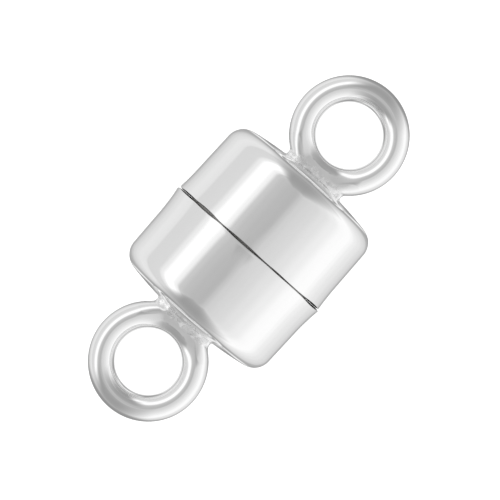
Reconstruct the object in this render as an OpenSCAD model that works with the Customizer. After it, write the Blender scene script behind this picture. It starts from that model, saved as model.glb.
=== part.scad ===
// Round magnetic clasp for a necklace or bracelet, fastened and lying on its side.
// Two silver cups meet at a seam. Each has a closed ring soldered to its domed end and a
// disc magnet glued inside. The plug half's magnet stands proud of its rim and drops into
// the recess of the socket half. The clasp's axis runs along X, the seam is at x = 0 and
// the clasp rests on z = 0. Lengths are in millimetres.

/* [Cups] */
// Outer diameter of a cup at its wall
body_d = 6.0; // [5:0.1:8]
// Length of a cup, from the seam to the top of its domed end
cup_len = 3.2; // [2.8:0.05:5]
// Thickness of the silver
wall = 0.35; // [0.25:0.05:0.5]
// Outer radius of the shoulder between wall and domed end
shoulder_r = 0.65; // [0.55:0.05:1]
// Rise of the domed end above the shoulder
dome_h = 0.15; // [0.08:0.01:0.3]
// How much the wall narrows towards the shoulder, on the radius
wall_taper = 0.02; // [0.01:0.01:0.05]
// Gap that shows between the two rims
seam_gap = 0.06; // [0.02:0.01:0.15]

/* [Rims] */
// How far the socket cup's rim flares out, on the radius
socket_flare = 0.09; // [0.02:0.01:0.2]
// Distance from the seam at which the socket cup's flare ends
socket_flare_len = 1.3; // [0.6:0.1:1.8]
// How far the plug cup's rim flares out, on the radius
plug_flare = 0.05; // [0.02:0.01:0.2]
// Distance from the seam at which the plug cup's flare ends
plug_flare_len = 1.1; // [0.6:0.1:1.8]
// Rounding of a rim's outer edge
rim_round = 0.08; // [0.04:0.01:0.12]

/* [Rings] */
// Outer diameter of a ring
ring_od = 4.0; // [3:0.1:5]
// Diameter of the ring's wire
wire_d = 0.9; // [0.7:0.05:1.1]
// How deep a ring sits below the top of its domed end
ring_sink = 0.2; // [0.1:0.02:0.3]

/* [Solder] */
// How far the solder neck's flanks stay inside those of the ring's wire
neck_inset = 0.03; // [0.02:0.01:0.1]
// Length of the solder neck, along the ring's wire
neck_len = 2.36; // [1.8:0.04:2.6]
// Radius of the fillet between the solder neck and the domed end
fillet_r = 0.15; // [0.1:0.01:0.3]

/* [Magnets] */
// Gap between a magnet and the cup's bore, which the glue fills
glue_gap = 0.13; // [0.05:0.01:0.25]
// Gap between a magnet and the cup's floor
floor_gap = 0.05; // [0.03:0.01:0.1]
// How far the plug magnet stands out past the seam
plug_reach = 0.3; // [0.15:0.05:0.5]
// Gap between the faces of the two magnets
face_gap = 0.05; // [0.03:0.01:0.1]
// Chamfer on a magnet's edges
magnet_chamfer = 0.15; // [0.05:0.01:0.25]

/* [Hidden] */
$fn = 96;
silver = "#d9dadb";
nickel = "#b9b6ae";
// How far a cutting shape runs past what it cuts
over = 0.5;
// How far the fillet's foot dips under the domed end, so that the two cross cleanly
fillet_dip = 0.02;
// How far the shoulder's arc stands proud of the wall and of the dome that run into it, so
// that each crosses it at a slight crease
crease = 0.002;

wall_r = body_d / 2;
axis_z = wall_r + max(socket_flare, plug_flare);
rim_y = seam_gap / 2;
// The shoulder's arc is centred on shoulder_c and meets the dome's arc along dome_angle
shoulder_x = wall_r - wall_taper - shoulder_r;
dome_r = (pow(shoulder_x, 2) + pow(dome_h, 2)) / (2 * dome_h);
dome_c = [0, cup_len - dome_r];
shoulder_c = dome_c + [shoulder_x, sqrt(pow(dome_r - shoulder_r + crease, 2) - pow(shoulder_x, 2))];
dome_angle = angle_of(shoulder_c - dome_c);
bore_r = shoulder_x + shoulder_r - wall;
ring_r = (ring_od - wire_d) / 2;
ring_y = cup_len - ring_sink + ring_od / 2;
neck_d = wire_d - 2 * neck_inset;
neck_run = neck_len - neck_d;
// The neck ends inside the ring's wire, between the wire's heights over its middle and end
neck_top = ring_y - (ring_r + sqrt(pow(ring_r, 2) - pow(neck_run / 2, 2))) / 2;
// How far the domed end has fallen away at the foot of the neck's fillet
foot_fall = dome_r - sqrt(pow(dome_r, 2) - pow(neck_len / 2 + fillet_r, 2));
magnet_r = bore_r - glue_gap;
magnet_end_r = magnet_r - magnet_chamfer;
magnet_y = floor_y(magnet_end_r) - floor_gap;

// Sections are drawn with x as the distance from the clasp's axis and y as that from the seam
function angle_of(v) = atan2(v[1], v[0]);
function toward(angle) = [cos(angle), sin(angle)];

// Height at x of the upper half of the circle of radius r round c
function arc_y(c, r, x) = c[1] + sqrt(pow(r, 2) - pow(x - c[0], 2));

// Distance of the hollow's floor from the seam, at the distance x from the axis
function floor_y(x) = x < shoulder_x
    ? arc_y(dome_c, dome_r - wall, x)
    : arc_y(shoulder_c, shoulder_r - wall, x);

// Angle on the circle of radius r round c at which a line from p touches its outer side
function touch_angle(p, c, r) = angle_of(p - c) + acos(r / norm(p - c));

// The domed end as far as the shoulder, less inset all round
module dome_section(inset) {
    intersection() {
        translate(dome_c) circle(dome_r - inset);
        polygon([[0, shoulder_c[1] - over], shoulder_c - [0, over],
                 shoulder_c + (shoulder_r + over) * toward(dome_angle), [0, cup_len + over]]);
    }
}

module outer_section(flare, flare_len) {
    lip_c = [wall_r + flare - rim_round, rim_y + rim_round];
    waist = [wall_r, flare_len];
    touch_r = shoulder_r - crease;
    wall_end = shoulder_c + touch_r * toward(touch_angle(waist, shoulder_c, touch_r));
    // The flare's arc runs along the wall at the waist and through the outermost point of the lip
    flare_r = (pow(flare, 2) + pow(flare_len - lip_c[1], 2)) / (2 * flare);
    difference() {
        union() {
            polygon([[0, rim_y], [lip_c[0], rim_y], lip_c + [rim_round, 0], waist, wall_end,
                     shoulder_c, [0, shoulder_c[1]]]);
            translate(lip_c) circle(rim_round);
        }
        translate(waist + [flare_r, 0]) circle(flare_r);
    }
    translate(shoulder_c) circle(shoulder_r);
    dome_section(0);
}

module hollow_section() {
    polygon([[0, rim_y - over], [bore_r, rim_y - over], [bore_r, shoulder_c[1]], [0, shoulder_c[1]]]);
    translate(shoulder_c) circle(shoulder_r - wall);
    dome_section(wall);
}

// Half of the solder neck across its thickness, with its fillet
module neck_section() {
    dip_y = cup_len - foot_fall - fillet_dip;
    foot_y = dip_y - wall / 2;
    fillet_c = [neck_d / 2 + fillet_r, dip_y + fillet_r];
    difference() {
        polygon([[0, foot_y], [fillet_c[0], foot_y], fillet_c, [neck_d / 2, fillet_c[1]],
                 [neck_d / 2, neck_top], [0, neck_top]]);
        translate(fillet_c) circle(fillet_r);
    }
}

// A half of the clasp stands on the seam with the clasp's axis on Z and its ring's axis on X
module neck() {
    for (side = [0, 1]) mirror([0, side, 0]) translate([0, neck_run / 2, 0])
        rotate_extrude(angle = 180) neck_section();
    rotate([90, 0, 0]) linear_extrude(neck_run, center = true) {
        neck_section();
        mirror([1, 0]) neck_section();
    }
}

module ring() {
    translate([0, 0, ring_y]) rotate([0, 90, 0])
        rotate_extrude() translate([ring_r, 0]) circle(wire_d / 2);
}

module cup(flare, flare_len) {
    difference() {
        union() {
            rotate_extrude() outer_section(flare, flare_len);
            neck();
            ring();
        }
        rotate_extrude() hollow_section();
    }
}

module magnet(from, to) {
    rotate_extrude() polygon([
        [0, from], [magnet_end_r, from], [magnet_r, from + magnet_chamfer],
        [magnet_r, to - magnet_chamfer], [magnet_end_r, to], [0, to]
    ]);
}

// Lays a half down with its ring pointing along +X for turn 0 or -X for turn 180. Either way
// it rests on the same side of itself.
module lay(turn) {
    translate([0, 0, axis_z]) rotate([0, 90, turn]) children();
}

module socket_cup() {
    color(silver) lay(180) cup(socket_flare, socket_flare_len);
}

module socket_magnet() {
    color(nickel) lay(180) magnet(plug_reach + face_gap, magnet_y);
}

module plug_magnet() {
    color(nickel) lay(0) magnet(-plug_reach, magnet_y);
}

module plug_cup() {
    color(silver) lay(0) cup(plug_flare, plug_flare_len);
}

socket_cup();
socket_magnet();
plug_magnet();
plug_cup();
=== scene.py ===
"""Looks of the magnetic clasp: two polished silver cups with soldered rings, closed round two magnets.

The clasp lies on its side with its axis along X, its seam at x = 0 and the socket half on the -X side.
Named sizes are in millimetres, and MM turns them into the metres of the row frame.
"""

import math

import bmesh
import bpy
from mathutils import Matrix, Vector, noise


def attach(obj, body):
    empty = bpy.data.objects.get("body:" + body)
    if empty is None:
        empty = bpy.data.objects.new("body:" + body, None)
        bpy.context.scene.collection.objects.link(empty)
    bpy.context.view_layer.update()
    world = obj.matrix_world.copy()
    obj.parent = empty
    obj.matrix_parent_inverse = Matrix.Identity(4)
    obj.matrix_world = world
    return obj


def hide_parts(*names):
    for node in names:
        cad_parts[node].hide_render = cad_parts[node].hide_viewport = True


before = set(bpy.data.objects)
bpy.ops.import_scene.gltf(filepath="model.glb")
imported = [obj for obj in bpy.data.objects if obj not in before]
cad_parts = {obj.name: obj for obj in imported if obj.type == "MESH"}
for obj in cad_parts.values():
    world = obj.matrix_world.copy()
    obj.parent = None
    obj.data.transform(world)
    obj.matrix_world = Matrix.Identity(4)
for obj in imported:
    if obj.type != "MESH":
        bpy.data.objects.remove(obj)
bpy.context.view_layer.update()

MM = 0.001

# Cups. A flare is how far a rim stands out and the distance from the seam at which it ends.
WALL_R = 3.0
CUP_LEN = 3.2
WALL = 0.35
SHOULDER_R = 0.65
# Rise of the domed end over the shoulder, outside and in the hollow
DOME_RISE = 0.2
HOLLOW_RISE = 0.15
WALL_TAPER = 0.02
BORE_R = 2.63
AXIS_Z = 3.09
SOCKET_FLARE = (0.09, 1.3)
PLUG_FLARE = (0.05, 1.1)
SHOULDER_X = WALL_R - WALL_TAPER - SHOULDER_R
# Angle at which the shoulder's arc runs into the tapered wall, in degrees
WALL_ANGLE = 1.0

# Rims: the outer edge is barely broken, and each rim falls back from the seam by at least RIM_MIN
LIP_ROUND = 0.025
RIM_MIN = 0.003
# Distance from the seam over which a rim's unevenness fades out
RIM_FADE = 0.5
# A face is part of the rim this close to the seam if it looks this much along the axis
RIM_ZONE = 0.25
RIM_FACING = 0.94
# How far past the hollow's size a face still counts as inside
HOLLOW_SLACK = 0.01
# Where the rims fall back more: degrees round the axis from straight up towards +Y, half width in
# degrees, and how far the socket's and the plug's rim fall back there
RIM_DIPS = (
    (0, 66, 0.012, 0.010),
    (180, 50, 0.008, 0.006),
    (90, 9, 0.036, 0.034),
    (60, 16, 0.036, 0.034),
    (37, 9, 0.034, 0.042),
    (6, 12, 0.024, 0.022),
    (-24, 7, 0.006, 0.014),
    (-42, 13, 0.006, 0.006),
    (-67, 14, 0.046, 0.042),
    (-91, 8, 0.022, 0.018),
    (152, 18, 0.026, 0.010),
    (-150, 24, 0.008, 0.028),
)

# Rings: round wire with a soft ridge along its crest, flattened where the solder was filed. The
# filing starts between two angles from the ring's near end.
RING_R = 1.55
WIRE_R = 0.45
RING_X = 5.0
RIDGE = 0.16
RIDGE_W = 0.2
FILED = 0.2
FILED_W = 0.3
FILED_FROM = math.radians(60)
FILED_TO = math.radians(20)

# Solder between ring and dome. Over NECK_SPAN its half thickness falls from NECK_R at the middle
# by CROWN times the square of the distance. DOME_BLEND and LOOP_BLEND are the reach of its fillets.
NECK_R = 0.33
NECK_SPAN = 2.02
CROWN = 0.18
NECK_TOP = 3.55
DOME_BLEND = 0.12
LOOP_BLEND = 0.1
# The solder's mesh is found by looks at its surface, which start round an outline of this length
# and this distance from the seam, FILLET_R or LOOK_FROM outside it
NECK_RUN = 1.66
NECK_FOOT = 3.17
FILLET_R = 0.15
LOOK_FROM = 0.35
LOOK_STEPS = 40
# Its rows on the dome: how far outside the fillet, how deep they are sunk and their share of the
# unevenness
DOME_ROWS = ((0.22, 0.10, 0), (0.20, 0.02, 0), (0.14, 0.004, 0), (0.07, 0, 0.3))
# Degrees between its rows round the fillet
FILLET_STEP = 9
# Its rows up the flank and on the wire: height over the foot, depth and share of the unevenness
FLANK_ROWS = (
    (0.17, 0, 1),
    (0.19, 0, 1),
    (0.21, 0, 1),
    (0.23, 0, 1),
    (0.25, 0, 1),
    (0.27, 0, 1),
    (0.29, 0, 0.9),
    (0.31, 0.001, 0.75),
    (0.33, 0.002, 0.55),
    (0.35, 0.004, 0.35),
    (0.37, 0.007, 0.18),
    (0.39, 0.012, 0.06),
    (0.42, 0.03, 0),
    (0.44, 0.1, 0),
)
# Unevenness of the solder: its height, and the layers of its noise in lumps per mm with their share
SOCKET_LUMPS = 0.034
PLUG_LUMPS = 0.022
LUMP_NOISE = ((2.4, 1.0), (5.5, 0.6), (13.0, 0.25))
# The shading of ring and solder becomes one between these distances from the seam, and stops
# between these from the seam and from the axis
JOINT_START = (3.38, 3.46)
JOINT_END = (4.0, 3.85)
JOINT_SIDES = (1.6, 1.4)
# The silver is dull with solder between these distances from the seam, as far as these from the
# axis. Its outer end is ragged.
DULL_START = (3.12, 3.2)
DULL_END = (3.26, 3.5)
DULL_SIDES = (0.9, 1.3)
RAGGED = 0.12

# Magnets
MAGNET_R = 2.5
MAGNET_ROUND = 0.12
PLUG_REACH = 0.3
FACE_GAP = 0.05
MAGNET_END = 2.646

# Mesh steps
TURNS = 288
WIRE_STEPS = 96
RING_STEPS = 288
NECK_STEPS = 160

# Photograph: the clasp's axis rises by this angle in the picture, whose side shows VIEW_W. The
# picture's middle lies at VIEW_SHIFT, to the right and up, from the clasp's.
AXIS_TILT = 48.3
VIEW_W = 16.53
VIEW_SHIFT = (0.040, -0.052)
LENS = 200.0
SENSOR = 36.0


def dome_shape(rise):
    """Radius of a domed end, its centre's distance from the seam and that of its shoulder's centre."""
    radius = (SHOULDER_X**2 + rise**2) / (2 * rise)
    middle = CUP_LEN - radius
    return radius, middle, middle + math.sqrt((radius - SHOULDER_R) ** 2 - SHOULDER_X**2)


DOME_R, DOME_Y, SHOULDER_Y = dome_shape(DOME_RISE)


def arc(centre, radius, start, end, steps):
    """Points on a circle from the angle start to the angle end, in degrees, both ends kept."""
    points = []
    for i in range(steps + 1):
        a = math.radians(start + (end - start) * i / steps)
        points.append((centre[0] + radius * math.cos(a), centre[1] + radius * math.sin(a)))
    return points


def line(start, end, steps):
    """Points between two ends, without the ends."""
    return [
        (start[0] + (end[0] - start[0]) * i / steps, start[1] + (end[1] - start[1]) * i / steps)
        for i in range(1, steps)
    ]


def fade(value, start, end):
    """Runs smoothly from 0 at start to 1 at end."""
    t = min(max((value - start) / (end - start), 0.0), 1.0)
    return t * t * (3 - 2 * t)


def cup_section(flare, flare_len):
    """The closed section of a cup: distance from the axis and distance from the seam, from the
    top of the dome over the outside to the rim and back along the hollow to the axis."""
    dome_c = (0.0, DOME_Y)
    shoulder_c = (SHOULDER_X, SHOULDER_Y)
    dome_angle = math.degrees(math.atan2(SHOULDER_Y - DOME_Y, SHOULDER_X))
    lip_c = (WALL_R + flare - LIP_ROUND, LIP_ROUND)
    flare_r = (flare**2 + (flare_len - lip_c[1]) ** 2) / (2 * flare)
    flare_c = (WALL_R + flare_r, flare_len)
    flare_end = math.degrees(math.asin((flare_len - lip_c[1]) / flare_r))

    outer = arc(dome_c, DOME_R, 90, dome_angle, 40)
    outer += arc(shoulder_c, SHOULDER_R, dome_angle, WALL_ANGLE, 32)[1:]
    waist = (WALL_R, flare_len)
    outer += line(outer[-1], waist, 8)
    outer += arc(flare_c, flare_r, 180, 180 + flare_end, 16)
    outer += arc(lip_c, LIP_ROUND, 0, -90, 4)[1:]
    rim = (BORE_R, 0.0)
    dome_r, dome_y, shoulder_y = dome_shape(HOLLOW_RISE)
    hollow_angle = math.degrees(math.atan2(shoulder_y - dome_y, SHOULDER_X))
    hollow = line(outer[-1], rim, 3) + [rim] + line(rim, (BORE_R, shoulder_y), 8)
    hollow += arc((SHOULDER_X, shoulder_y), SHOULDER_R - WALL, 0, hollow_angle, 8)
    hollow += arc((0.0, dome_y), dome_r - WALL, hollow_angle, 90, 12)[1:]
    return outer + hollow


def rim_fall(angle, which):
    """How far a rim falls back from the seam at an angle in degrees. which is 0 for the socket."""
    fall = RIM_MIN
    for middle, half, *depths in RIM_DIPS:
        away = (angle - middle + 180) % 360 - 180
        fall += depths[which] * math.exp(-abs(away / half) ** 3)
    return fall


def strip(bm, first, second):
    """The faces between two closed rows of points."""
    for k in range(len(first)):
        n = (k + 1) % len(first)
        bm.faces.new((first[k], first[n], second[n], second[k]))


def lathe(bm, section, side, rim):
    """Turns a section whose ends lie on the axis. side is 1 for the plug and -1 for the socket,
    and rim says how far the section's start is pushed away from the seam at an angle."""
    rows = []
    for r, x in section[1:-1]:
        share = 1 - fade(x, 0.0, RIM_FADE)
        row = []
        for k in range(TURNS):
            a = math.tau * k / TURNS
            place = x + (share * rim(math.degrees(a)) if share > 0 else 0.0)
            point = Vector((side * place, r * math.sin(a), AXIS_Z + r * math.cos(a)))
            row.append(bm.verts.new(point * MM))
        rows.append(row)
    ends = [bm.verts.new(Vector((side * section[i][1], 0, AXIS_Z)) * MM) for i in (0, -1)]
    for row, following in zip(rows, rows[1:]):
        strip(bm, row, following)
    for end, row in zip(ends, (rows[0], rows[-1])):
        for k in range(TURNS):
            n = (k + 1) % TURNS
            bm.faces.new((end, row[k], row[n]))


def log_cosh(value):
    """The logarithm of the hyperbolic cosine, also of large values."""
    size = abs(value)
    return size + math.log1p(math.exp(-2 * size)) - math.log(2)


def crest(t, height, width):
    """A soft ridge over the middle of the wire that is gone at its sides, where t is 1 or -1."""
    return height * width * (log_cosh(1 / width) - log_cosh(t / width))


def wire_radius(around, across):
    """Radius of the wire's section. around is the angle round the ring from its far end, and
    across is the angle round the wire from its outer side."""
    filed = fade(abs(around - math.pi), FILED_FROM, FILED_TO)
    t = math.cos(across)
    ridge = (1 - filed) * crest(t, RIDGE, RIDGE_W) - filed * crest(t, FILED, FILED_W)
    return WIRE_R * (1 + ridge * abs(math.sin(across)))


def ring(bm, side):
    """The wire of a ring whose plane is level."""
    rows = []
    for i in range(RING_STEPS):
        a = math.tau * i / RING_STEPS
        row = []
        for j in range(WIRE_STEPS):
            b = math.tau * j / WIRE_STEPS
            wire = wire_radius(a, b)
            r = RING_R + wire * math.cos(b)
            z = AXIS_Z + wire * math.sin(b)
            point = Vector((side * (RING_X + r * math.cos(a)), r * math.sin(a), z))
            row.append(bm.verts.new(point * MM))
        rows.append(row)
    for i in range(RING_STEPS):
        for j in range(WIRE_STEPS):
            m, n = (i + 1) % RING_STEPS, (j + 1) % WIRE_STEPS
            bm.faces.new((rows[i][j], rows[m][j], rows[m][n], rows[i][n]))


def finish_mesh(bm, name):
    """A smooth object in the scene from a mesh that is being built."""
    bmesh.ops.recalc_face_normals(bm, faces=bm.faces)
    mesh = bpy.data.meshes.new(name)
    bm.to_mesh(mesh)
    bm.free()
    mesh.polygons.foreach_set("use_smooth", [True] * len(mesh.polygons))
    obj = bpy.data.objects.new(name, mesh)
    bpy.context.scene.collection.objects.link(obj)
    return obj


def smooth_min(a, b, blend):
    """The smaller of two distances, with a fillet where both are small."""
    share = max(blend - abs(a - b), 0.0) / blend
    return min(a, b) - share * share * blend / 4


def solder_distance(p):
    """Distance from a point to the dome, neck and wire as the solder joins them."""
    x, y, z = p
    dome = math.sqrt((x - DOME_Y) ** 2 + y * y + z * z) - DOME_R
    half = NECK_R - CROWN * min(abs(y), NECK_SPAN / 2) ** 2
    neck = max(math.hypot(max(abs(y) - NECK_SPAN / 2, 0.0), z) - half, x - NECK_TOP)
    out = math.hypot(x - RING_X, y) - RING_R
    around = math.atan2(y, x - RING_X) % math.tau
    loop = math.hypot(out, z) - wire_radius(around, math.atan2(z, out))
    return smooth_min(smooth_min(dome, neck, DOME_BLEND), loop, LOOP_BLEND)


def neck_outline():
    """The neck's outline across the axis: places on it, each with the direction outwards."""
    half = NECK_RUN / 2
    bend = math.pi * NECK_R
    whole = 2 * (NECK_RUN + bend)
    points = []
    for k in range(NECK_STEPS):
        d = whole * k / NECK_STEPS
        turn = 1 if d < whole / 2 else -1
        d = d % (whole / 2)
        if d < NECK_RUN:
            place, out = Vector((half - d, NECK_R)), Vector((0.0, 1.0))
        else:
            a = math.pi / 2 + (d - NECK_RUN) / NECK_R
            out = Vector((math.cos(a), math.sin(a)))
            place = Vector((-half, 0.0)) + out * NECK_R
        points.append((place * turn, out * turn))
    return points


def solder(bm, side, lumps):
    """The solder between ring and dome. Each row of points is found by looking at the joined
    shape from outside. lumps is the height of the unevenness."""
    # Start of the look (outwards from the neck's flank, along the axis from its foot), its
    # direction in the same terms, how deep the row is sunk and its share of the unevenness
    looks = [((FILLET_R + out, FILLET_R), (0, -1), deep, share) for out, deep, share in DOME_ROWS]
    for angle in range(0, 91, FILLET_STEP):
        a = math.radians(angle)
        looks.append(((FILLET_R, FILLET_R), (-math.sin(a), -math.cos(a)), 0, 0.5 + angle / 180))
    looks += [((LOOK_FROM, high), (-1, 0), deep, share) for high, deep, share in FLANK_ROWS]
    rows = []
    for (out, high), (d_out, d_high), deep, share in looks:
        row = []
        for place, normal in neck_outline():
            start = Vector((NECK_FOOT + high, *(place + normal * out)))
            ray = Vector((d_high, *(normal * d_out)))
            travel = 0.0
            for _ in range(LOOK_STEPS):
                travel += solder_distance(start + ray * travel)
            found = start + ray * travel
            spot = Vector((found.x * side, found.y, found.z))
            uneven = sum(part * noise.noise(spot * scale) for scale, part in LUMP_NOISE)
            found += ray * (deep - lumps * share * uneven)
            point = Vector((side * found.x, found.y, AXIS_Z + found.z))
            row.append(bm.verts.new(point * MM))
        rows.append(row)
    for row, following in zip(rows, rows[1:]):
        strip(bm, row, following)
    bm.faces.new(rows[0])
    bm.faces.new(rows[-1])


def solder_normal(p):
    """Direction in which the distance to the joined shape grows."""
    step = 0.0005
    moves = (Vector((step, 0, 0)), Vector((0, step, 0)), Vector((0, 0, step)))
    slopes = [solder_distance(p + move) - solder_distance(p - move) for move in moves]
    return Vector(slopes).normalized()


def smooth_joint(mesh, side):
    """Shades the ring and the solder as one surface where the solder runs out on the ring."""
    normals = [corner.vector.copy() for corner in mesh.corner_normals]
    known = {}
    for corner in mesh.loops:
        x, y, z = mesh.vertices[corner.vertex_index].co / MM
        share = fade(side * x, *JOINT_START) * fade(abs(y), *JOINT_SIDES) * fade(side * x, *JOINT_END)
        if share > 0:
            if corner.vertex_index not in known:
                known[corner.vertex_index] = solder_normal(Vector((side * x, y, z - AXIS_Z)))
            across, rest = known[corner.vertex_index].x, known[corner.vertex_index].yz
            smooth = Vector((side * across, *rest))
            normals[corner.index] = normals[corner.index].lerp(smooth, share).normalized()
    mesh.normals_split_custom_set(normals)


def joined(name, pieces):
    """One closed mesh from several that cross."""
    first, rest = pieces[0], pieces[1:]
    for other in rest:
        cut = first.modifiers.new("Join", "BOOLEAN")
        cut.operation = "UNION"
        cut.solver = "EXACT"
        cut.object = other
    graph = bpy.context.evaluated_depsgraph_get()
    mesh = bpy.data.meshes.new_from_object(first.evaluated_get(graph))
    first.modifiers.clear()
    first.data = mesh
    first.name = name
    for other in rest:
        bpy.data.objects.remove(other)
    return first


def half_cup(name, flare, side, lumps, skins):
    """A cup with its ring and solder. skins are the materials outside, inside and on the rim."""
    which = 0 if side < 0 else 1
    bm = bmesh.new()
    lathe(bm, cup_section(*flare), side, lambda angle: rim_fall(angle, which))
    shell = finish_mesh(bm, name + "_shell")
    bm = bmesh.new()
    ring(bm, side)
    loop = finish_mesh(bm, name + "_loop")
    bm = bmesh.new()
    solder(bm, side, lumps)
    neck = finish_mesh(bm, name + "_solder")
    cup = joined(name, [shell, loop, neck])
    cup.data.materials.clear()
    for skin in skins:
        cup.data.materials.append(skin)
    # The hollow's faces and the rim faces at the seam take materials darkened as painted shade of the
    # seam gap
    for face in cup.data.polygons:
        x, y, z = face.center / MM
        in_bore = math.hypot(y, z - AXIS_Z) < BORE_R + HOLLOW_SLACK
        inside = in_bore and abs(x) < CUP_LEN - WALL + HOLLOW_SLACK
        at_rim = abs(x) < RIM_ZONE and abs(face.normal.x) > RIM_FACING
        face.material_index = 1 if inside else 2 if at_rim else 0
    cup.data.set_sharp_from_angle(angle=math.radians(35))
    smooth_joint(cup.data, side)
    return cup


def magnet(name, start, end, skin):
    """A disc magnet with rounded edges, between two places on the axis."""
    lo, hi = min(start, end), max(start, end)
    section = [(0.0, lo)] + [(MAGNET_R * t, lo) for t in (0.25, 0.5, 0.75)]
    inner = MAGNET_R - MAGNET_ROUND
    section += arc((inner, lo + MAGNET_ROUND), MAGNET_ROUND, -90, 0, 6)
    section += arc((inner, hi - MAGNET_ROUND), MAGNET_ROUND, 0, 90, 6)
    section += [(MAGNET_R * t, hi) for t in (0.75, 0.5, 0.25)] + [(0.0, hi)]
    bm = bmesh.new()
    lathe(bm, section, 1, lambda angle: 0.0)
    disc = finish_mesh(bm, name)
    disc.data.set_sharp_from_angle(angle=math.radians(40))
    disc.data.materials.append(skin)
    return disc


# Materials. Scales of noise are in cycles per metre.


def node_material(name):
    """A new material with its node tree and its shader."""
    material = bpy.data.materials.new(name)
    material.use_nodes = True
    tree = material.node_tree
    return material, tree, tree.nodes["Principled BSDF"]


def noise_node(tree, place, scale, detail):
    """Noise from 0 to 1."""
    node = tree.nodes.new("ShaderNodeTexNoise")
    node.inputs["Scale"].default_value = scale
    node.inputs["Detail"].default_value = detail
    tree.links.new(place, node.inputs["Vector"])
    return node.outputs["Fac"]


def range_node(tree, value, source, target, smooth=False):
    """Maps value from one pair of ends to another."""
    node = tree.nodes.new("ShaderNodeMapRange")
    if smooth:
        node.interpolation_type = "SMOOTHSTEP"
    for name, number in zip(("From Min", "From Max", "To Min", "To Max"), (*source, *target)):
        node.inputs[name].default_value = number
    tree.links.new(value, node.inputs["Value"])
    return node.outputs["Result"]


def math_node(tree, kind, a, b=None):
    """One step of arithmetic. Each value is a number or a socket."""
    node = tree.nodes.new("ShaderNodeMath")
    node.operation = kind
    for slot, value in enumerate((a, b)):
        if isinstance(value, (int, float)):
            node.inputs[slot].default_value = value
        elif value is not None:
            tree.links.new(value, node.inputs[slot])
    return node.outputs["Value"]


def mix_node(tree, factor, a, b):
    """Mixes two colours. Each is a colour or a socket."""
    node = tree.nodes.new("ShaderNodeMix")
    node.data_type = "RGBA"
    tree.links.new(factor, node.inputs["Factor"])
    for name, value in (("A", a), ("B", b)):
        if isinstance(value, tuple):
            node.inputs[name].default_value = (*value, 1)
        else:
            tree.links.new(value, node.inputs[name])
    return node.outputs["Result"]


def bump_node(tree, height, strength, distance, below=None):
    """Unevenness too fine for the mesh, on top of the one below. distance is in metres."""
    node = tree.nodes.new("ShaderNodeBump")
    node.inputs["Distance"].default_value = distance
    if isinstance(strength, float):
        node.inputs["Strength"].default_value = strength
    else:
        tree.links.new(strength, node.inputs["Strength"])
    tree.links.new(height, node.inputs["Height"])
    if below is not None:
        tree.links.new(below, node.inputs["Normal"])
    return node.outputs["Normal"]


def silver_material():
    """Polished silver, duller and lumpier where the rings are soldered on."""
    material, tree, shader = node_material("Polished_silver")
    shader.inputs["Metallic"].default_value = 1.0
    place = tree.nodes.new("ShaderNodeTexCoord").outputs["Object"]
    parts = tree.nodes.new("ShaderNodeSeparateXYZ")
    tree.links.new(place, parts.inputs["Vector"])
    along = math_node(tree, "ABSOLUTE", parts.outputs["X"])
    across = math_node(tree, "ABSOLUTE", parts.outputs["Y"])
    shift = noise_node(tree, place, 2600.0, 3.0)
    shift = range_node(tree, shift, (0.3, 0.7), (-RAGGED * MM, RAGGED * MM))
    started, ended, inward = (
        range_node(tree, value, [edge * MM for edge in edges], target, True)
        for value, edges, target in (
            (along, DULL_START, (0, 1)),
            (math_node(tree, "ADD", along, shift), DULL_END, (1, 0)),
            (across, DULL_SIDES, (1, 0)),
        )
    )
    joint = math_node(tree, "MULTIPLY", started, math_node(tree, "MULTIPLY", ended, inward))
    # Faint cloudiness of the polish
    cloud = noise_node(tree, place, 900.0, 3.0)
    polish = range_node(tree, cloud, (0.3, 0.7), (0.035, 0.07))
    dull = range_node(tree, noise_node(tree, place, 2100.0, 2.0), (0.38, 0.62), (0.1, 0.5), True)
    rough = math_node(tree, "ADD", polish, math_node(tree, "MULTIPLY", joint, dull))
    tree.links.new(rough, shader.inputs["Roughness"])
    tint = mix_node(tree, cloud, (0.96, 0.96, 0.96), (0.99, 0.99, 0.99))
    tree.links.new(tint, shader.inputs["Base Color"])
    # Polishing marks that run round the cups, and the grain of the solder
    stretch = tree.nodes.new("ShaderNodeMapping")
    stretch.inputs["Scale"].default_value = (26000.0, 1500.0, 1500.0)
    tree.links.new(place, stretch.inputs["Vector"])
    marks = noise_node(tree, stretch.outputs["Vector"], 1.0, 4.0)
    normal = bump_node(tree, marks, 0.06, 0.000004)
    grain = noise_node(tree, place, 9000.0, 3.0)
    normal = bump_node(tree, grain, math_node(tree, "MULTIPLY", joint, 0.16), 0.00002, normal)
    tree.links.new(normal, shader.inputs["Normal"])
    return material


def grainy_material(name, scale_and_detail, spread, rough, tints, strength, distance):
    """A material whose roughness, tint and surface follow one fine grain. spread is the stretch
    of the noise over which the roughness runs."""
    material, tree, shader = node_material(name)
    place = tree.nodes.new("ShaderNodeTexCoord").outputs["Object"]
    grain = noise_node(tree, place, *scale_and_detail)
    tree.links.new(range_node(tree, grain, spread, rough), shader.inputs["Roughness"])
    tree.links.new(mix_node(tree, grain, *tints), shader.inputs["Base Color"])
    tree.links.new(bump_node(tree, grain, strength, distance), shader.inputs["Normal"])
    return material, shader


def hollow_painted_shade_material():
    """The insides of the cups, made near black as painted shade in the narrow gap at the seam."""
    tints = ((0.035, 0.035, 0.034), (0.075, 0.074, 0.072))
    material, shader = grainy_material(
        "Hollow_painted_shade", (7000.0, 4.0), (0.2, 0.8), (0.6, 0.9), tints, 0.2, 0.000008
    )
    shader.inputs["Specular IOR Level"].default_value = 0.15
    return material


def rim_painted_shade_material():
    """The cut edges of the cups, darkened as painted shade in the narrow gap at the seam."""
    tints = ((0.22, 0.22, 0.216), (0.36, 0.357, 0.35))
    material, shader = grainy_material(
        "Rim_painted_shade", (5000.0, 4.0), (0.2, 0.8), (0.45, 0.65), tints, 0.15, 0.000006
    )
    shader.inputs["Metallic"].default_value = 1.0
    return material


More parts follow.
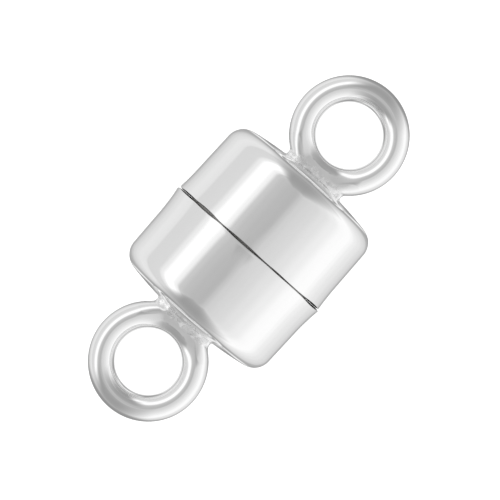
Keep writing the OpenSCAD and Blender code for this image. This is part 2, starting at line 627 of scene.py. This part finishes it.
def nickel_material():
    """The satin plating of the magnets."""
    tints = ((0.58, 0.57, 0.55), (0.70, 0.69, 0.67))
    material, shader = grainy_material(
        "Magnet_nickel", (6000.0, 5.0), (0, 1), (0.24, 0.42), tints, 0.12, 0.000006
    )
    shader.inputs["Metallic"].default_value = 1.0
    return material


# Studio

# Strength of the light of the tent and of the floor that the metal shows
STUDIO_LIGHT = 0.97
# Brightness of the tent by the angle from the zenith, in degrees: its +Y side with the softbox,
# its -Y side, and its darker ends
TENT_LEFT = [
    (0, 0.49), (12, 0.51), (24, 0.55), (33, 0.62), (40, 0.94), (48, 1.12), (58, 1.10), (66, 0.88),
    (74, 0.73), (90, 0.72),
]
TENT_RIGHT = [
    (0, 0.50), (6, 0.59), (12, 0.66), (22, 0.70), (30, 0.725), (45, 0.80), (62, 0.90), (80, 1.02),
    (90, 1.04),
]
TENT_ENDS = [
    (0, 0.47), (12, 0.45), (20, 0.42), (32, 0.385), (44, 0.365), (57, 0.355), (71, 0.355),
    (84, 0.375), (90, 0.37),
]
# The -Y side passes into the +Y side between these directions' Y
TENT_MIDDLE = (-0.13, 0.05)
# The tent's ends pass into its sides between these slopes off the axis. The softbox's end leans
# outwards by LEAN.
LEFT_SLOPES = (0.1, 0.7)
RIGHT_SLOPES = (0.03, 1.1)
LEAN = 0.38
# Weight of a direction's square along the axis in the angle that a side's brightness follows,
# against that of its square across the axis
ZENITH_SHARE = 0.4
# Angles off the zenith over which the ends begin, in degrees
END_START = (8, 24)
# Brightness of the floor as the metal shows it: by the distance from the clasp's axis in mm on
# either side, and past the ends by the distance from the nearer ring's centre
# The low levels close to the axis are painted shadow of the clasp on the floor
FLOOR_LEFT = [
    (0, 0.34), (3, 0.36), (4.3, 0.48), (5, 0.63), (6, 0.72), (8, 0.79), (11, 0.84), (22, 0.82),
    (40, 0.72),
]
FLOOR_RIGHT = [
    (0, 0.34), (3, 0.36), (4.3, 0.48), (5, 0.68), (6.3, 0.76), (8.8, 0.84), (14, 0.91), (22, 0.99),
    (40, 1.04),
]
FLOOR_ENDS = [
    (0, 0.66), (3, 0.66), (4.3, 0.31), (5.8, 0.29), (9, 0.33), (13, 0.39), (18, 0.44), (40, 0.41),
]
# The -Y side passes into the +Y side between these places across the axis, in mm
FLOOR_MIDDLE = (-0.5, 0.5)
# The floor's ends pass into its sides between these slopes off the axis
FLOOR_SLOPES = (0.04, 0.9)
# The floor round a ring: next to the cup by the distance from the clasp's axis, past that by the
# distance from the ring's centre, between two places along the axis from that centre
# The low levels of FLOOR_RING and FLOOR_EYE, under the wire, are painted shadow of the ring
FLOOR_RING = [
    (0, 0.40), (0.4, 0.46), (0.8, 0.58), (1.1, 0.62), (1.4, 0.42), (1.8, 0.32), (2.55, 0.36),
    (2.9, 0.8), (3.6, 0.88),
]
FLOOR_EYE = [(0, 0.95), (1.35, 0.95), (1.7, 0.75), (2.1, 0.60), (2.4, 0.75), (2.7, 0.92), (3.6, 0.9)]
EYE_START = (-1.1, -0.6)
# How far the floor round a ring reaches from its centre
RING_REACH = (3.0, 3.6)
# Half the side of each floor, in metres
FLOOR_HALF = 0.15


def profile(tree, value, levels):
    """A curve of brightness over a value, through levels of that value and a brightness."""
    end = levels[-1][0]
    ramp = tree.nodes.new("ShaderNodeValToRGB")
    ramp.color_ramp.interpolation = "EASE"
    tree.links.new(range_node(tree, value, (0, end), (0, 1)), ramp.inputs["Fac"])
    elements = ramp.color_ramp.elements
    elements.remove(elements[0])
    for i, (place, bright) in enumerate(levels):
        e = elements.new(place / end) if i else elements[0]
        e.position = place / end
        e.color = (bright, bright, bright, 1)
    return ramp.outputs["Color"]


def tent():
    """The world: a white tent with a softbox on its +Y side and darker ends."""
    world = bpy.data.worlds.new("Tent")
    bpy.context.scene.world = world
    world.use_nodes = True
    tree = world.node_tree
    parts = tree.nodes.new("ShaderNodeSeparateXYZ")
    tree.links.new(tree.nodes.new("ShaderNodeTexCoord").outputs["Generated"], parts.inputs["Vector"])
    x, y, z = (parts.outputs[axis] for axis in "XYZ")
    end_on = math_node(tree, "ABSOLUTE", x)
    sideways = math_node(tree, "ABSOLUTE", y)
    end_square, side_square = (math_node(tree, "MULTIPLY", value, value) for value in (end_on, sideways))
    end_square = math_node(tree, "MULTIPLY", end_square, ZENITH_SHARE)
    level = math_node(tree, "SQRT", math_node(tree, "ADD", end_square, side_square))
    angle = math_node(tree, "MULTIPLY", math_node(tree, "ARCTAN2", level, z), 180 / math.pi)
    zenith = math_node(tree, "MULTIPLY", math_node(tree, "ARCCOSINE", z), 180 / math.pi)
    ends = profile(tree, zenith, TENT_ENDS)
    slope = math_node(tree, "DIVIDE", sideways, math_node(tree, "ADD", end_on, 0.0001))
    leaning = math_node(tree, "SUBTRACT", slope, math_node(tree, "MULTIPLY", z, LEAN))
    overhead = range_node(tree, zenith, END_START, (1, 0), True)
    sides = []
    for value, slopes, levels in ((leaning, LEFT_SLOPES, TENT_LEFT), (slope, RIGHT_SLOPES, TENT_RIGHT)):
        share = math_node(tree, "MAXIMUM", range_node(tree, value, slopes, (0, 1), True), overhead)
        sides.append(mix_node(tree, share, ends, profile(tree, angle, levels)))
    left, right = sides
    whole = mix_node(tree, range_node(tree, y, TENT_MIDDLE, (0, 1), True), right, left)
    tree.links.new(whole, tree.nodes["Background"].inputs["Color"])
    tree.nodes["Background"].inputs["Strength"].default_value = STUDIO_LIGHT


def floor_piece(name):
    """A flat floor under the clasp, which is no part of it."""
    bm = bmesh.new()
    bmesh.ops.create_grid(bm, x_segments=1, y_segments=1, size=FLOOR_HALF)
    mesh = bpy.data.meshes.new(name)
    bm.to_mesh(mesh)
    bm.free()
    floor = bpy.data.objects.new(name, mesh)
    bpy.context.scene.collection.objects.link(floor)
    return floor


def shown_floor():
    """The white floor, which the metal doesn't show."""
    floor = floor_piece("Floor")
    floor.visible_glossy = False
    material, tree, shader = node_material("White_acrylic")
    shader.inputs["Base Color"].default_value = (0.9, 0.9, 0.9, 1)
    shader.inputs["Roughness"].default_value = 0.9
    shader.inputs["Emission Color"].default_value = (1, 1, 1, 1)
    shader.inputs["Emission Strength"].default_value = 0.75
    floor.data.materials.append(material)


def mirrored_floor():
    """The floor as the metal shows it: darker close to the cups and under the rings as their painted
    shadow, and darker past the ends.
    """
    floor = floor_piece("Floor_in_the_metal")
    floor.visible_camera = False
    floor.visible_diffuse = False
    floor.visible_shadow = False
    material, tree, shader = node_material("Floor_glow")
    place = tree.nodes.new("ShaderNodeVectorMath")
    place.operation = "SCALE"
    place.inputs["Scale"].default_value = 1 / MM
    tree.links.new(tree.nodes.new("ShaderNodeTexCoord").outputs["Object"], place.inputs[0])
    parts = tree.nodes.new("ShaderNodeSeparateXYZ")
    tree.links.new(place.outputs["Vector"], parts.inputs["Vector"])
    x, y = parts.outputs["X"], parts.outputs["Y"]
    past = math_node(tree, "SUBTRACT", math_node(tree, "ABSOLUTE", x), RING_X)
    beside = math_node(tree, "ABSOLUTE", y)
    squares = [
        math_node(tree, "POWER", value, 2.0) for value in (math_node(tree, "ABSOLUTE", past), beside)
    ]
    away = math_node(tree, "SQRT", math_node(tree, "ADD", *squares))
    left, right = (profile(tree, beside, levels) for levels in (FLOOR_LEFT, FLOOR_RIGHT))
    sides = mix_node(tree, range_node(tree, y, FLOOR_MIDDLE, (0, 1)), right, left)
    slope = math_node(tree, "DIVIDE", beside, math_node(tree, "MAXIMUM", past, 0.001))
    sideways = range_node(tree, slope, FLOOR_SLOPES, (0, 1), True)
    whole = mix_node(tree, sideways, profile(tree, away, FLOOR_ENDS), sides)
    outward = range_node(tree, past, EYE_START, (0, 1), True)
    near = mix_node(tree, outward, profile(tree, beside, FLOOR_RING), profile(tree, away, FLOOR_EYE))
    whole = mix_node(tree, range_node(tree, away, RING_REACH, (0, 1), True), near, whole)
    shader.inputs["Base Color"].default_value = (0, 0, 0, 1)
    shader.inputs["Specular IOR Level"].default_value = 0
    tree.links.new(whole, shader.inputs["Emission Color"])
    shader.inputs["Emission Strength"].default_value = STUDIO_LIGHT
    floor.data.materials.append(material)


def camera():
    """Looks straight down. The clasp sits a little up and to the left of the picture's middle."""
    data = bpy.data.cameras.new("Camera")
    data.lens = LENS
    data.sensor_width = SENSOR
    data.clip_start = 0.001
    data.clip_end = 10.0
    cam = bpy.data.objects.new("Camera", data)
    bpy.context.scene.collection.objects.link(cam)
    turn = math.radians(-AXIS_TILT)
    right = Vector((math.cos(turn), math.sin(turn), 0))
    up = Vector((-math.sin(turn), math.cos(turn), 0))
    aim = right * VIEW_SHIFT[0] + up * VIEW_SHIFT[1]
    cam.location = (aim + Vector((0, 0, AXIS_Z + VIEW_W * LENS / SENSOR))) * MM
    cam.rotation_euler = (0, 0, turn)
    bpy.context.scene.camera = cam


# The hollow's and the rim's materials are darkened as painted shade of the seam gap
skins = (silver_material(), hollow_painted_shade_material(), rim_painted_shade_material())
nickel = nickel_material()
socket_cup = half_cup("Socket_cup", SOCKET_FLARE, -1, SOCKET_LUMPS, skins)
plug_cup = half_cup("Plug_cup", PLUG_FLARE, 1, PLUG_LUMPS, skins)
socket_magnet = magnet("Socket_magnet", -MAGNET_END, -PLUG_REACH - FACE_GAP, nickel)
plug_magnet = magnet("Plug_magnet", -PLUG_REACH, MAGNET_END, nickel)

# Each node's piece, the body that it rides on and its slot
pieces = {
    "socket_cup": (socket_cup, "socket_half", "silver"),
    "plug_cup": (plug_cup, "plug_half", "silver"),
    "socket_magnet": (socket_magnet, "socket_half", "magnet_nickel"),
    "plug_magnet": (plug_magnet, "plug_magnet", "magnet_nickel"),
}
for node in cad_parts:
    piece, body, slot = pieces[node]
    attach(piece, body)
    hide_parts(node)

shown_floor()
mirrored_floor()
tent()
camera()
bpy.context.scene.view_settings.view_transform = "Standard"
